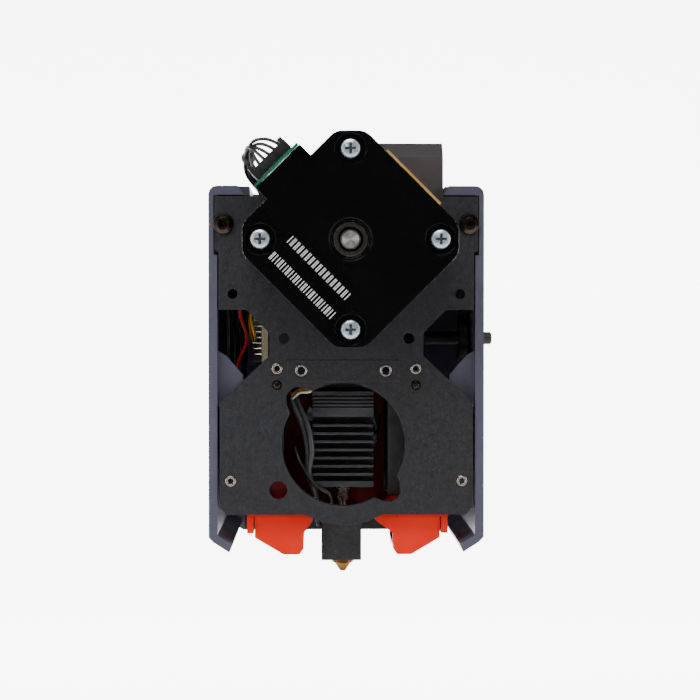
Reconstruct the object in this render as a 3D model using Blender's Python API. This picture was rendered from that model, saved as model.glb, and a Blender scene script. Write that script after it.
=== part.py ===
"""Direct-drive print head: pancake motor, geared extruder, hot end, fans, ducts and cover.

+X is to the right as seen from the carriage, +Y runs away from the carriage towards the
front of the printer, and +Z is up. The origin lies on the carriage land of the back plate,
midway between its two carriage inserts. Lengths are in millimetres and become metres when
a mesh is made.
"""

import math

import bmesh
import bpy
from mathutils import Matrix, Vector

MM = 0.001
GAP = 0.3            # clearance between pieces that rest on each other
FIT = 0.15           # clearance around small pressed-in pieces
ROOT2 = math.sqrt(2.0)

# Back plate
LAND_HEIGHT = 0.2
PLATE_THICKNESS = 2.5
PLATE_REAR = LAND_HEIGHT
PLATE_FRONT = PLATE_REAR + PLATE_THICKNESS
PLATE_TOP = 44.6
PLATE_BOTTOM = -37.0
PLATE_HALF_TOP = 33.75
PLATE_HALF_WING = 32.75
PLATE_HALF_WAIST = 19.7
PLATE_HALF_LOWER = 32.5
OPENING_RADIUS = 15.8
OPENING_Z = -18.96
LOBE_RADIUS = 3.35
LOBE_DISTANCE = 16.24
CARRIAGE_INSERT_X = (-11.6, 10.1)

# Motor
MOTOR_X = 0.59
MOTOR_Z = 32.45
MOTOR_HALF = 21.15
MOTOR_CORNER = 26.25
MOTOR_REAR = -22.0
MOTOR_FRONT = PLATE_REAR - GAP
SCREW_CIRCLE = 21.92
SHAFT_RADIUS = 2.5
ROTOR_BORE = 13.3

# Gear train
MODULE = 0.5
PINION_TEETH = 16
REDUCTION_TEETH = 40
FEED_TEETH = 17
FILAMENT_X = -0.78
FILAMENT_Y = 14.0
DRIVE_X = 4.6
CENTRE_DISTANCE = MODULE * (PINION_TEETH + REDUCTION_TEETH) / 2
DRIVE_Z = MOTOR_Z + math.sqrt(CENTRE_DISTANCE ** 2 - (DRIVE_X - MOTOR_X) ** 2)
IDLER_X = 2 * FILAMENT_X - DRIVE_X
FEED_PITCH_RADIUS = DRIVE_X - FILAMENT_X
FEED_TIP_RADIUS = FEED_PITCH_RADIUS + 0.45
PIVOT_X = -6.0
PIVOT_Z = DRIVE_Z + 8.04
PIN_RADIUS = 1.2
ARM_FACE_X = -9.0

# Extruder casings
CASE_REAR = PLATE_FRONT + GAP
CASE_FRONT = 9.4
CASE_WALL = 2.2
GEAR_REAR = CASE_REAR + CASE_WALL + 0.5
BODY_REAR = CASE_FRONT + GAP
BODY_FRONT = 24.5
BOX_RIGHT = 25.0
BOX_TOP = 58.9

# Release button
BUTTON_Y = 20.0
BUTTON_Z = 8.2
BUTTON_TIP_X = 39.4
BUTTON_RADIUS = 1.7
FLANGE_RADIUS = 6.0
FLANGE_X = (30.4, 32.5)

# Hot end
SINK_HALF = 8.0
SINK_TOP = -5.5
SINK_HEIGHT = 25.0
SINK_BOTTOM = SINK_TOP - SINK_HEIGHT
SINK_HEAD = 6.7
FIN_DEPTH = 4.6
BLOCK_X = (-5.4, 3.0)
BLOCK_Y = (9.0, 25.0)
BLOCK_Z = (-48.9, -37.5)
SOCK_WALL = 0.7
CARTRIDGE_Y = 21.3
CARTRIDGE_Z = -41.7
THERMISTOR_Z = -47.0
NOZZLE_TIP = -53.5

# Fans
FAN_SIZE = 25.0
FAN_X = -2.6
FAN_Z = -18.0
FAN_DEPTH = 10.0
SHROUD_REAR = FILAMENT_Y + SINK_HALF + GAP
SHROUD_Y = (SHROUD_REAR, SHROUD_REAR + 1.5)
FAN_Y = (SHROUD_Y[1] + 2 * GAP, SHROUD_Y[1] + 2 * GAP + FAN_DEPTH)
BLOWER_SIZE = 30.0
BLOWER_Y = 21.0
BLOWER_Z = -17.5
BLOWER_DEPTH = 10.2
BLOWER_X = (-27.4, 10.9)

# Air ducts, given by their inner and outer sides
DUCT_SIDES = {"left": (-10.9, -23.7), "right": (12.0, 24.3)}
DUCT_FLARE = {"left": 2.2, "right": 4.4}
DUCT_Y = (4.0, SHROUD_Y[1] + 0.2)
SHROUD_HOLE_RADIUS = 10.2
SHROUD_HOLE_Z = -15.5

# Cover
COVER_HALF = 35.4
COVER_WALL = 2.3
COVER_TOP = 47.4
COVER_TOP_WALL = 2.4
COVER_REAR = 0.8
COVER_FRONT = 54.0
COVER_SCREW = (31.5, 37.5)


def clear_scene():
    for old in list(bpy.data.objects):
        bpy.data.objects.remove(old)


def material(name, colour, roughness, metallic=0.0):
    found = bpy.data.materials.get(name)
    if found:
        return found
    made = bpy.data.materials.new(name)
    made.use_nodes = True
    shader = made.node_tree.nodes["Principled BSDF"]
    shader.inputs["Base Color"].default_value = (*colour, 1.0)
    shader.inputs["Roughness"].default_value = roughness
    shader.inputs["Metallic"].default_value = metallic
    return made


def black_gloss():
    return material("black_gloss", (0.008, 0.008, 0.009), 0.25)


def steel():
    return material("steel", (0.62, 0.61, 0.60), 0.25, 1.0)


def zinc():
    return material("zinc", (0.75, 0.77, 0.80), 0.22, 1.0)


def brass():
    return material("brass", (0.60, 0.36, 0.12), 0.3, 1.0)


def dark_plate():
    return material("dark_plate", (0.028, 0.028, 0.034), 0.55)


def casing():
    return material("casing", (0.060, 0.053, 0.056), 0.5)


def cover_paint():
    return material("cover_paint", (0.115, 0.112, 0.150), 0.5)


def duct_plastic():
    return material("duct_plastic", (0.75, 0.055, 0.020), 0.4)


def black_plastic():
    return material("black_plastic", (0.015, 0.015, 0.015), 0.5)


def black_rubber():
    return material("black_rubber", (0.020, 0.020, 0.022), 0.7)


def aluminium():
    return material("aluminium", (0.55, 0.56, 0.58), 0.35, 1.0)


def place(u, v, t, axis):
    """The point whose distance along the axis is t, and (u, v) across it."""
    if axis == "Y":
        return Vector((u, t, v))
    if axis == "X":
        return Vector((t, u, v))
    return Vector((u, v, t))


def circle(centre_u, centre_v, radius, sides=24, start=0.0):
    step = 2 * math.pi / sides
    return [
        (centre_u + radius * math.cos(start + i * step), centre_v + radius * math.sin(start + i * step))
        for i in range(sides)
    ]


def rectangle(u0, u1, v0, v1):
    return [(u0, v0), (u1, v0), (u1, v1), (u0, v1)]


def rounded(points, radius, steps=4):
    """The outline with each corner eased by a short curve that starts where a fillet would."""
    eased = []
    for i, here in enumerate(points):
        corner = Vector(here)
        before = (Vector(points[i - 1]) - corner).normalized()
        after = (Vector(points[(i + 1) % len(points)]) - corner).normalized()
        reach = radius / math.tan(before.angle(after) / 2)
        for k in range(steps + 1):
            t = k / steps
            point = corner + before * reach * (1 - t) ** 2 + after * reach * t ** 2
            eased.append((point.x, point.y))
    return eased


def prism(loops, low, high, axis="Y", into=None):
    """An outline with holes in it, swept from low to high along the axis."""
    bm = into or bmesh.new()
    edges = []
    for loop in loops:
        verts = [bm.verts.new(place(u, v, low, axis)) for u, v in loop]
        edges += [bm.edges.new((verts[i - 1], verts[i])) for i in range(len(verts))]
    filled = bmesh.ops.triangle_fill(bm, use_beauty=True, use_dissolve=False, edges=edges)
    faces = [f for f in filled["geom"] if isinstance(f, bmesh.types.BMFace)]
    swept = bmesh.ops.extrude_face_region(bm, geom=faces, use_keep_orig=True)
    moved = [v for v in swept["geom"] if isinstance(v, bmesh.types.BMVert)]
    bmesh.ops.translate(bm, verts=moved, vec=place(0, 0, high - low, axis))
    bmesh.ops.recalc_face_normals(bm, faces=bm.faces)
    return bm


def box(x0, x1, y0, y1, z0, z1, into=None):
    return prism([rectangle(x0, x1, z0, z1)], y0, y1, "Y", into)


def turned(profile, centre_u, centre_v, axis="Y", sides=24, into=None):
    """A closed profile of (radius, distance along the axis) turned round the axis."""
    bm = into or bmesh.new()
    verts = [bm.verts.new(place(centre_u + r, centre_v, t, axis)) for r, t in profile]
    count = len(verts)
    pairs = [(i, (i + 1) % count) for i in range(count)]
    edges = [
        bm.edges.new((verts[i], verts[j]))
        for i, j in pairs
        if profile[i][0] > 0 or profile[j][0] > 0
    ]
    bmesh.ops.spin(
        bm,
        geom=verts + edges,
        cent=place(centre_u, centre_v, 0, axis),
        axis=place(0, 0, 1, axis),
        angle=2 * math.pi,
        steps=sides,
        use_merge=True,
    )
    bmesh.ops.remove_doubles(bm, verts=bm.verts, dist=1e-4)
    bmesh.ops.recalc_face_normals(bm, faces=bm.faces)
    return bm


def rod(radius, low, high, centre_u, centre_v, axis="Y", sides=20, into=None):
    return prism([circle(centre_u, centre_v, radius, sides)], low, high, axis, into)


def ring(outer, inner, low, high, centre_u, centre_v, axis="Y", sides=24, into=None):
    loops = [circle(centre_u, centre_v, outer, sides), circle(centre_u, centre_v, inner, sides)]
    return prism(loops, low, high, axis, into)


def finish(name, bm, look, origin=(0.0, 0.0, 0.0)):
    """Make the object, with its origin where it turns or slides."""
    centre = Vector(origin)
    bmesh.ops.translate(bm, verts=bm.verts, vec=-centre)
    bmesh.ops.scale(bm, verts=bm.verts, vec=(MM, MM, MM))
    mesh = bpy.data.meshes.new(name)
    bm.to_mesh(mesh)
    bm.free()
    mesh.shade_smooth()
    mesh.set_sharp_from_angle(angle=math.radians(30))
    mesh.materials.append(look)
    made = bpy.data.objects.new(name, mesh)
    made.location = centre * MM
    bpy.context.scene.collection.objects.link(made)
    return made


def combine(target, operation, bm):
    """Cut a shape out of the target, or join it on, with a Boolean modifier."""
    tool = finish(f"{target.name}_{operation.lower()}_{len(target.modifiers)}", bm, target.data.materials[0])
    tool.hide_render = True
    tool.display_type = "WIRE"
    modifier = target.modifiers.new(operation.title(), "BOOLEAN")
    modifier.operation = operation
    modifier.solver = "EXACT"
    modifier.object = tool


def cut(target, bm):
    combine(target, "DIFFERENCE", bm)


def join(target, bm):
    combine(target, "UNION", bm)


def gear_outline(centre_x, centre_z, pitch_radius, teeth, addendum, dedendum, phase):
    """Straight-sided teeth, slimmer than the gaps between them so that they run free."""
    pitch = 2 * math.pi / teeth
    corners = [(-0.26, -dedendum), (-0.10, addendum), (0.10, addendum), (0.26, -dedendum)]
    points = []
    for tooth in range(teeth):
        for turn, height in corners:
            angle = phase + (tooth + turn) * pitch
            radius = pitch_radius + height
            points.append((centre_x + radius * math.cos(angle), centre_z + radius * math.sin(angle)))
    return points


def vane_outline(centre_u, centre_v, hub, tip, vanes, thickness):
    """A hub with straight radial vanes, as an outline."""
    points = []
    half = thickness / 2
    for vane in range(vanes):
        angle = 2 * math.pi * vane / vanes
        along = Vector((math.cos(angle), math.sin(angle)))
        across = Vector((-along.y, along.x))
        base = math.sqrt(hub ** 2 - half ** 2)
        for reach, side in ((base, -half), (tip, -half), (tip, half), (base, half)):
            point = along * reach + across * side
            points.append((centre_u + point.x, centre_v + point.y))
        middle = angle + math.pi / vanes
        points.append((centre_u + hub * math.cos(middle), centre_v + hub * math.sin(middle)))
    return points


def twist(bm, centre_x, centre_z, low, high, angle):
    """Slice a vaned wheel along Y and turn each slice a little further than the last."""
    slices = 3
    for i in range(1, slices):
        cut_at = low + (high - low) * i / slices
        geometry = list(bm.verts) + list(bm.edges) + list(bm.faces)
        bmesh.ops.bisect_plane(bm, geom=geometry, plane_co=(0, cut_at, 0), plane_no=(0, 1, 0))
    for vert in bm.verts:
        turn = angle * (vert.co.y - low) / (high - low)
        arm = Vector((vert.co.x - centre_x, vert.co.z - centre_z))
        arm.rotate(Matrix.Rotation(turn, 2))
        vert.co = Vector((centre_x + arm.x, vert.co.y, centre_z + arm.y))
    bmesh.ops.triangulate(bm, faces=[f for f in bm.faces if abs(f.normal.y) < 0.9])
    return bm


def smooth_path(route, step):
    """Points at even steps along a smooth curve through the route's points."""
    points = [Vector(p) for p in route]
    padded = [2 * points[0] - points[1]] + points + [2 * points[-1] - points[-2]]
    dense = []
    for a, b, c, d in zip(padded, padded[1:], padded[2:], padded[3:]):
        for k in range(24):
            t = k / 24
            dense.append(
                0.5 * (2 * b + (c - a) * t + (2 * a - 5 * b + 4 * c - d) * t ** 2
                       + (3 * b - a - 3 * c + d) * t ** 3)
            )
    dense.append(points[-1])
    spaced = [dense[0]]
    for point in dense[1:-1]:
        if (point - spaced[-1]).length >= step:
            spaced.append(point)
    if (dense[-1] - spaced[-1]).length < step / 2:
        spaced.pop()
    return spaced + [dense[-1]]


def tube(name, points, radius, look):
    curve = bpy.data.curves.new(name, "CURVE")
    curve.dimensions = "3D"
    spline = curve.splines.new("POLY")
    spline.points.add(len(points) - 1)
    for slot, point in zip(spline.points, points):
        slot.co = (*(Vector(point) * MM), 1.0)
    curve.bevel_depth = radius * MM
    curve.bevel_resolution = 2
    curve.use_fill_caps = True
    curve.materials.append(look)
    made = bpy.data.objects.new(name, curve)
    bpy.context.scene.collection.objects.link(made)
    return made


def motor_side(along, out):
    """A point by the motor's upper left side: along it, and out from the motor's axis."""
    return (MOTOR_X + (along - out) / ROOT2, MOTOR_Z + (along + out) / ROOT2)


def motor_outline(half=MOTOR_HALF, corner=MOTOR_CORNER, tab=None):
    flat = half * ROOT2 - corner
    offsets = [
        (flat, corner), (corner, flat), (corner, -flat), (flat, -corner),
        (-flat, -corner), (-corner, -flat), (-corner, flat), (-flat, corner),
    ]
    steps = 4
    points = rounded([(MOTOR_X + x, MOTOR_Z + z) for x, z in offsets], 4.2, steps)
    if tab:
        length, out = tab
        upper_left = 7 * (steps + 1)
        points[upper_left:upper_left] = [
            motor_side(-length / 2, half),
            motor_side(-length / 2, out),
            motor_side(length / 2, out),
            motor_side(length / 2, half),
        ]
    return points


def motor_corners():
    for dx, dz in ((0, 1), (1, 0), (0, -1), (-1, 0)):
        yield MOTOR_X + dx * SCREW_CIRCLE, MOTOR_Z + dz * SCREW_CIRCLE


def motor_holes(radius, low, high):
    holes = bmesh.new()
    for x, z in motor_corners():
        rod(radius, low, high, x, z, sides=12, into=holes)
    return holes


def build_motor():
    look = black_gloss()
    cap_front = -14.8
    cap = finish("motor_rear_cap", prism([motor_outline(tab=(15.0, 24.85))], MOTOR_REAR, cap_front), look)
    bore = [(0, -24), (5.2, -24), (5.2, -21.0), (4.55, -21.0), (4.55, -17.0), (ROTOR_BORE, -17.0),
            (ROTOR_BORE, -12.0), (0, -12.0)]
    cut(cap, turned(bore, MOTOR_X, MOTOR_Z, sides=32))
    cut(cap, motor_holes(3.9, MOTOR_REAR - 1, MOTOR_REAR + 0.8))
    cut(cap, motor_holes(1.5 + GAP, MOTOR_REAR, -12.0))

    stator_front = -7.0
    stator_outline = motor_outline(MOTOR_HALF - 0.4, MOTOR_CORNER - 1.2)
    stator = finish(
        "motor_stator",
        prism([stator_outline, circle(MOTOR_X, MOTOR_Z, ROTOR_BORE, 32)], cap_front + GAP, stator_front),
        material("stator_steel", (0.05, 0.05, 0.055), 0.45, 0.8),
    )
    cut(stator, motor_holes(1.5 + GAP, -16.0, -6.0))

    flange = finish(
        "motor_front_flange",
        prism([motor_outline()], stator_front + GAP, MOTOR_FRONT),
        look,
    )
    join(flange, rod(11.0, MOTOR_FRONT - 1.0, MOTOR_FRONT + 2.0, MOTOR_X, MOTOR_Z, sides=32))
    inside = [(0, -8), (ROTOR_BORE, -8), (ROTOR_BORE, -3.6), (5.8, -3.6), (5.8, 0.7),
              (3.5, 0.7), (3.5, 3), (0, 3)]
    cut(flange, turned(inside, MOTOR_X, MOTOR_Z, sides=32))
    cut(flange, motor_holes(1.5 + GAP, -8.0, 1.0))

    axis = (MOTOR_X, 0, MOTOR_Z)
    rotor = ring(12.6, SHAFT_RADIUS + GAP, -15.6, -4.4, MOTOR_X, MOTOR_Z, sides=32)
    finish("motor_rotor", rotor, material("rotor_steel", (0.30, 0.29, 0.28), 0.5, 0.9), axis)
    shaft = [(0, -21.6), (2.1, -21.6), (SHAFT_RADIUS, -21.2), (SHAFT_RADIUS, 9.0), (2.2, 9.3), (0, 9.3)]
    finish("motor_shaft", turned(shaft, MOTOR_X, MOTOR_Z, sides=20), steel(), axis)
    rear = ring(4.25, SHAFT_RADIUS + GAP, -20.7, -17.8, MOTOR_X, MOTOR_Z)
    finish("motor_rear_bearing", rear, steel())
    front = ring(5.5, SHAFT_RADIUS + GAP, -3.3, 0.4, MOTOR_X, MOTOR_Z)
    finish("motor_front_bearing", front, steel())


def cross_recess(x, z, face, reach, depth):
    """The cross of a driver recess, sunk into a screw head whose face looks along -Y."""
    arm = 0.35
    outline = [
        (x + a, z + b)
        for a, b in (
            (arm, arm), (arm, reach), (-arm, reach), (-arm, arm), (-reach, arm), (-reach, -arm),
            (-arm, -arm), (-arm, -reach), (arm, -reach), (arm, -arm), (reach, -arm), (reach, arm),
        )
    ]
    return prism([outline], face - 0.5, face + depth)


def build_motor_screws():
    face = -22.9
    profile = [(0, face), (1.5, face), (2.2, face + 0.3), (2.45, face + 0.9), (2.45, -21.2 - GAP),
               (1.5, -21.2 - GAP), (1.5, -5.4), (0, -5.4)]
    for (x, z), name in zip(motor_corners(), ("top", "right", "bottom", "left")):
        screw = finish(f"motor_screw_{name}", turned(profile, x, z, sides=16), zinc())
        cut(screw, cross_recess(x, z, face, 1.35, 0.9))


def build_mount_screws():
    """Countersunk screws from the plate's front into the motor's lower and left corners."""
    corners = dict(zip(("top", "right", "bottom", "left"), motor_corners()))
    profile = [(0, -4.6), (1.5, -4.6), (1.5, 1.2), (2.6, 2.3), (2.6, 2.6), (0, 2.6)]
    for name in ("bottom", "left"):
        x, z = corners[name]
        finish(f"motor_mount_screw_{name}", turned(profile, x, z, sides=12), black_plastic())


def build_motor_connector():
    def slab(length, inner, outer, low, high):
        outline = [motor_side(-length / 2, inner), motor_side(length / 2, inner),
                   motor_side(length / 2, outer), motor_side(-length / 2, outer)]
        return prism([outline], low, high)

    board = slab(14.6, 25.15, 25.75, -21.6, -9.0)
    finish("motor_board", board, material("green_board", (0.004, 0.16, 0.08), 0.4))
    plug = finish("motor_connector", slab(11.4, 26.05, 28.7, -20.4, -12.6), black_plastic())
    prongs = bmesh.new()
    for side in (-1, 1):
        outline = [motor_side(side * 5.6, 28.0), motor_side(side * 4.4, 28.0),
                   motor_side(side * 4.4, 29.8), motor_side(side * 5.6, 29.8)]
        prism([outline], -20.2, -17.6, into=prongs)
    join(plug, prongs)
    strip = [(MOTOR_X + (a + n) / ROOT2, MOTOR_Z + (n - a) / ROOT2)
             for a, n in ((-9.4, 21.5), (9.4, 21.5), (9.4, 22.7), (-9.4, 22.7))]
    film = material("amber_film", (0.62, 0.37, 0.10), 0.35)
    finish("motor_insulation_strip", prism([strip], -13.5, -2.0), film)
    start_x, start_z = motor_side(0, 30.5)
    route = [(start_x, -16.2, start_z), (-22.4, -14.6, 55.6), (-24.9, -10.5, 54.2), (-25.0, -5.0, 50.4),
             (-22.8, 1.5, 47.9), (-22.0, 8.0, 47.0), (-21.4, 13.0, 44.9)]
    tube("motor_cable", smooth_path(route, 2.0), 1.3, black_rubber())


def plate_outline():
    """The plate's hourglass, walked clockwise from its upper left corner."""
    right = [
        (PLATE_HALF_TOP, PLATE_TOP), (PLATE_HALF_TOP, 30.9), (PLATE_HALF_WING, 30.9 - 0.6),
        (PLATE_HALF_WING, 15.6), (25.6, 15.6), (PLATE_HALF_WAIST, 9.6), (PLATE_HALF_WAIST, 3.84),
        (PLATE_HALF_LOWER - 1.0, -7.2), (PLATE_HALF_LOWER, -8.2), (PLATE_HALF_LOWER, PLATE_BOTTOM + 1.8),
        (PLATE_HALF_LOWER - 1.8, PLATE_BOTTOM),
    ]
    bulge_radius = 20.7
    drop = OPENING_Z - PLATE_BOTTOM
    sweep = math.acos(drop / bulge_radius)
    arc = [
        (FILAMENT_X + bulge_radius * math.sin(sweep * t), OPENING_Z - bulge_radius * math.cos(sweep * t))
        for t in (1.0, 0.6, 0.2, -0.2, -0.6, -1.0)
    ]
    left = [(-x, z) for x, z in reversed(right)]
    return right + arc + left


def opening_outline():
    """A round opening with a lobe at its upper left and its lower right."""
    points = []
    for i in range(72):
        angle = 2 * math.pi * i / 72
        reach = OPENING_RADIUS
        for lobe in (math.radians(135), math.radians(-45)):
            offset = LOBE_DISTANCE * math.sin(angle - lobe)
            if math.cos(angle - lobe) > 0 and abs(offset) < LOBE_RADIUS:
                along = LOBE_DISTANCE * math.cos(angle - lobe)
                reach = max(reach, along + math.sqrt(LOBE_RADIUS ** 2 - offset ** 2))
        points.append((FILAMENT_X + reach * math.cos(angle), OPENING_Z + reach * math.sin(angle)))
    return points


def build_back_plate():
    insert_radius = 1.55
    stud_radius = 1.4
    mirrored = [
        (31.5, 37.5, 1.7), (29.15, 19.65, 1.3), (16.0, 8.25, 1.4), (17.8, -3.7, 1.25),
        (17.8, 0.5, stud_radius + FIT), (29.7, -28.35, stud_radius + FIT),
    ]
    holes = [circle(side * x, z, r, 12) for x, z, r in mirrored for side in (-1, 1)]
    holes.append(circle(-17.5, -30.7, 2.35, 12))
    holes.append(circle(MOTOR_X, MOTOR_Z, 11.0 + GAP, 32))
    corners = dict(zip(("top", "right", "bottom", "left"), motor_corners()))
    holes += [circle(*corners[name], 1.5 + GAP, 12) for name in ("bottom", "left")]
    holes.append(opening_outline())
    plate = finish("back_plate", prism([plate_outline(), *holes], PLATE_REAR, PLATE_FRONT), dark_plate())
    sinks = bmesh.new()
    for name in ("bottom", "left"):
        x, z = corners[name]
        turned([(0, 0.6), (1.2, 0.6), (3.0, 2.4), (3.0, 4), (0, 4)], x, z, sides=12, into=sinks)
    cut(plate, sinks)
    join(plate, box(-15.2, 13.7, 0.0, PLATE_REAR + 0.8, -2.7, 2.7))
    seats = bmesh.new()
    for x in CARRIAGE_INSERT_X:
        rod(insert_radius + FIT, -1.0, PLATE_FRONT + 1.0, x, 0.0, sides=16, into=seats)
    cut(plate, seats)

    for x, side in zip(CARRIAGE_INSERT_X, ("left", "right")):
        insert = ring(insert_radius, 1.0, 0.05, PLATE_FRONT, x, 0.0, sides=16)
        finish(f"carriage_insert_{side}", insert, steel())
    for sign, side in ((-1, "left"), (1, "right")):
        stud = ring(stud_radius, 0.75, 0.05, PLATE_FRONT, sign * 17.8, 0.5, sides=12)
        finish(f"waist_stud_{side}", stud, steel())
        lower = ring(stud_radius, 0.75, 0.05, PLATE_FRONT, sign * 29.7, -28.35, sides=12)
        finish(f"lower_insert_{side}", lower, steel())
        x, z = sign * COVER_SCREW[0], COVER_SCREW[1]
        seat = PLATE_REAR - FIT
        head = [(0, -1.5), (1.6, -1.5), (2.5, -0.7), (2.7, 0.0), (2.7, seat), (1.3, seat),
                (1.3, 8.5), (0, 8.5)]
        screw = finish(f"cover_screw_{side}", turned(head, x, z, sides=16), black_plastic())
        cut(screw, prism([circle(x, z, 1.15, 6)], -2.5, -0.4))


def box_outline(left, bottom):
    corner = 6.0
    return [(left, bottom), (BOX_RIGHT, bottom), (BOX_RIGHT, BOX_TOP), (left + corner, BOX_TOP),
            (left, BOX_TOP - corner)]


def build_extruder():
    case = finish("gear_case", prism([box_outline(-10.0, 24.5)], CASE_REAR, CASE_FRONT), casing())
    cut(case, prism([[(-8.8, 26.0), (16.4, 26.0), (16.4, 57.4), (-3.6, 57.4), (-8.8, 52.2)]],
                    CASE_REAR + CASE_WALL, CASE_FRONT + 1))
    cut(case, rod(5.0, CASE_REAR - 1, CASE_REAR + CASE_WALL + 1, MOTOR_X, MOTOR_Z, sides=24))
    wedge = [(CASE_REAR - 1.0, 54.0), (CASE_REAR + 4.0, BOX_TOP + 0.8), (CASE_REAR - 1.0, BOX_TOP + 0.8)]
    cut(case, prism([wedge], -15.0, 30.0, "X"))

    body = finish("extruder_body", prism([box_outline(-9.0, 30.0)], BODY_REAR, BODY_FRONT), casing())
    join(body, box(-7.5, 6.0, BODY_REAR, 17.6, SINK_TOP + GAP, 31.0))
    join(body, box(19.8, 21.2, 15.8, BODY_FRONT - 0.4, 3.4, 31.0))
    hollow = box(-30.0, -3.2, 10.7, 22.4, 20.0, 57.0)
    cut(body, hollow)
    feed = bmesh.new()
    rod(FEED_TIP_RADIUS + 0.6, 12.1, 18.2, DRIVE_X, DRIVE_Z, sides=24, into=feed)
    cut(body, feed)
    cut(body, rod(FEED_TIP_RADIUS + 0.6, 12.0, 18.3, IDLER_X, DRIVE_Z, sides=24))
    cut(body, rod(3.5 + GAP, BODY_REAR - 1, 20.7, DRIVE_X, DRIVE_Z, sides=20))
    cut(body, rod(1.0, SINK_TOP - 1, BOX_TOP + 1, FILAMENT_X, FILAMENT_Y, "Z", sides=12))
    cut(body, rod(2.7, 56.0, BOX_TOP + 1, FILAMENT_X, FILAMENT_Y, "Z", sides=16))
    cut(body, rod(PIN_RADIUS + GAP, BODY_REAR - 1, BODY_FRONT + 1, PIVOT_X, PIVOT_Z, sides=12))
    cut(body, rod(BUTTON_RADIUS + 0.4, 19.0, 22.0, BUTTON_Y, BUTTON_Z, "X", sides=16))
    cut(body, box(13.0, 23.2, 12.0, BODY_FRONT + 1, 33.0, 56.6))

    inlet = [(1.0, 56.3), (2.4, 56.3), (2.4, BOX_TOP + GAP), (3.6, BOX_TOP + GAP), (3.6, 60.4),
             (2.4, 60.6), (2.2, 62.0), (1.0, 62.0)]
    finish("filament_inlet", turned(inlet, FILAMENT_X, FILAMENT_Y, "Z", sides=16), black_plastic())


def build_gears():
    towards = math.atan2(DRIVE_Z - MOTOR_Z, DRIVE_X - MOTOR_X)
    teeth_y = (GEAR_REAR, GEAR_REAR + 3.2)
    pinion = gear_outline(MOTOR_X, MOTOR_Z, MODULE * PINION_TEETH / 2, PINION_TEETH, 0.45, 0.58, towards)
    finish(
        "motor_pinion",
        prism([pinion, circle(MOTOR_X, MOTOR_Z, SHAFT_RADIUS + FIT, 20)], *teeth_y),
        steel(),
        (MOTOR_X, 0, MOTOR_Z),
    )
    half_tooth = math.pi / REDUCTION_TEETH
    wheel = gear_outline(DRIVE_X, DRIVE_Z, MODULE * REDUCTION_TEETH / 2, REDUCTION_TEETH, 0.45, 0.58,
                         towards + math.pi + half_tooth)
    drive_axis = (DRIVE_X, 0, DRIVE_Z)
    gear = prism([wheel, circle(DRIVE_X, DRIVE_Z, 1.5 + FIT, 16)], *teeth_y)
    finish("reduction_gear", gear, material("gear_plastic", (0.85, 0.84, 0.80), 0.45), drive_axis)

    shaft = [(0, GEAR_REAR - 0.2), (1.5, GEAR_REAR - 0.2), (1.5, 20.4), (0, 20.4)]
    finish("drive_shaft", turned(shaft, DRIVE_X, DRIVE_Z, sides=16), steel(), drive_axis)
    for name, low in (("rear", BODY_REAR + 0.2), ("front", 18.4)):
        bearing = ring(3.5, 1.5 + GAP, low, low + 2.0, DRIVE_X, DRIVE_Z, sides=20)
        finish(f"drive_bearing_{name}", bearing, steel())

    tooth_half = math.pi / FEED_TEETH
    for name, x, bore, phase in (
        ("drive_gear", DRIVE_X, 1.5 + FIT, math.pi),
        ("idler_gear", IDLER_X, PIN_RADIUS + GAP, tooth_half),
    ):
        outline = gear_outline(x, DRIVE_Z, FEED_PITCH_RADIUS, FEED_TEETH, 0.45, 0.6, phase)
        hob = gear_outline(x, DRIVE_Z, FEED_PITCH_RADIUS - 1.2, 24, 0.2, 0.2, 0.0)
        toothed = prism([outline, circle(x, DRIVE_Z, bore, 16)], 15.3, 17.4)
        made = finish(name, toothed, steel(), (x, 0, DRIVE_Z))
        join(made, prism([hob, circle(x, DRIVE_Z, bore, 16)], 12.6, 16.0))


def build_tension_arm():
    boss = 2.2
    crown = [(PIVOT_X + boss * math.cos(a), PIVOT_Z + boss * math.sin(a))
             for a in (math.pi * k / 8 for k in range(9))]
    outline = crown + [(-14.6, 49.5), (-14.6, 39.0), (-12.5, 36.0), (ARM_FACE_X, 36.0),
                       (-3.6, 39.4), (-3.6, 52.0)]
    pivot = (PIVOT_X, 0, PIVOT_Z)
    arm = finish("tension_arm", prism([outline], 11.0, 19.1), casing(), pivot)
    join(arm, box(-12.5, ARM_FACE_X, 17.9, 21.9, 5.4, 44.0))
    join(arm, rod(0.7, 18.5, 21.2, -6.5, 48.6, sides=10))
    cut(arm, rod(FEED_TIP_RADIUS + 0.4, 12.2, 17.9, IDLER_X, DRIVE_Z, sides=24))
    cut(arm, rod(PIN_RADIUS + GAP, 10.0, 20.0, IDLER_X, DRIVE_Z, sides=12))
    cut(arm, rod(PIN_RADIUS + GAP, 10.0, 20.0, PIVOT_X, PIVOT_Z, sides=12))
    finish("idler_pin", rod(PIN_RADIUS, 11.1, 19.0, IDLER_X, DRIVE_Z, sides=12), steel(), pivot)
    finish("arm_pivot_pin", rod(PIN_RADIUS, 9.9, 24.2, PIVOT_X, PIVOT_Z, sides=12), steel())

    coil = 2.1
    first_y, last_y = 19.8, 21.9
    turns = 2.0
    route = [(PIVOT_X - coil, first_y, 47.4), (PIVOT_X - coil, first_y, 50.6)]
    steps = 20
    for k in range(steps + 1):
        angle = math.pi + 2 * math.pi * turns * k / steps
        y = first_y + (last_y - first_y) * k / steps
        route.append((PIVOT_X + coil * math.cos(angle), y, PIVOT_Z - coil * math.sin(angle)))
    route.append((PIVOT_X - coil, last_y, PIVOT_Z + 2.4))
    tube("torsion_spring", route, 0.35, steel())


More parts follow.
